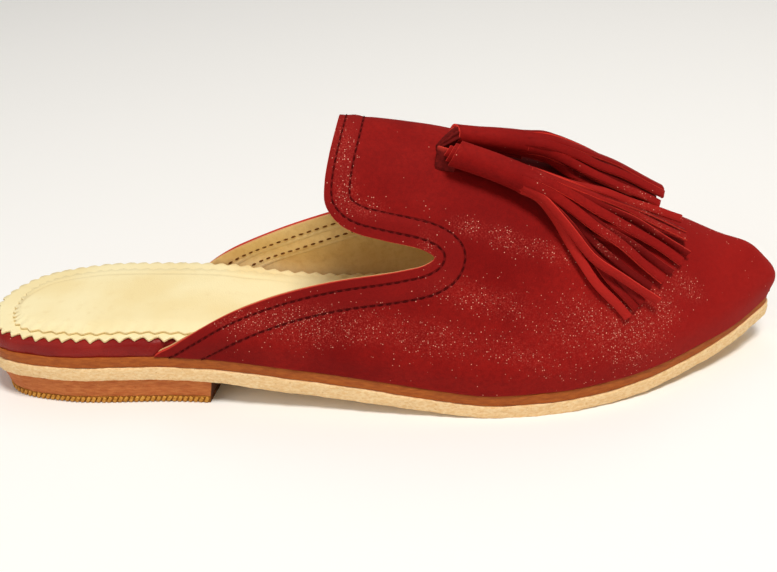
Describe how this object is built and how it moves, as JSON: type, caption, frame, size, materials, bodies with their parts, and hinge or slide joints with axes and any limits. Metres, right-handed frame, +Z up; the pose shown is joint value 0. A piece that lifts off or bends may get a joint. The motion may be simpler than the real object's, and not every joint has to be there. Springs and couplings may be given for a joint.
{
  "type": "babouche slipper",
  "caption": "Right backless pointed leather slipper with an open side notch, a tongue, a low stacked heel and a pair of fringed tassels.",
  "frame": {"origin": "on the floor, under the centre of the slipper's box", "axes": "+X from heel to toe, +Y to the inner (big-toe) side, +Z up"},
  "size_m": [0.265, 0.0828, 0.086],
  "materials": {
    "outsole_leather": "raw-edged undyed sole leather",
    "midsole_leather": "burnished tan edge",
    "heel_leather": "stacked tan leather lifts, trimmed edge",
    "toplift_leather": "ribbed yellow-tan edge",
    "rand_leather": "dark red smooth covering leather, slight sheen",
    "sock_leather": "undyed pale sheepskin, pinked edge",
    "upper_nubuck": "dark red nubuck with patches of fine sparkle",
    "tassel_suede": "dark red nubuck, brighter cut edges",
    "lining": "undyed pale lining leather",
    "thread": "very dark red sewing thread"
  },
  "bodies": {
    "root": {"outsole": "outsole_leather", "midsole": "midsole_leather", "heel_block": "heel_leather", "toplift": "toplift_leather", "footbed": "rand_leather", "insole": "sock_leather", "upper": "upper_nubuck", "tassel_outer": "tassel_suede", "tassel_inner": "tassel_suede", "tassel_strap": "tassel_suede"}
  },
  "joints": []
}
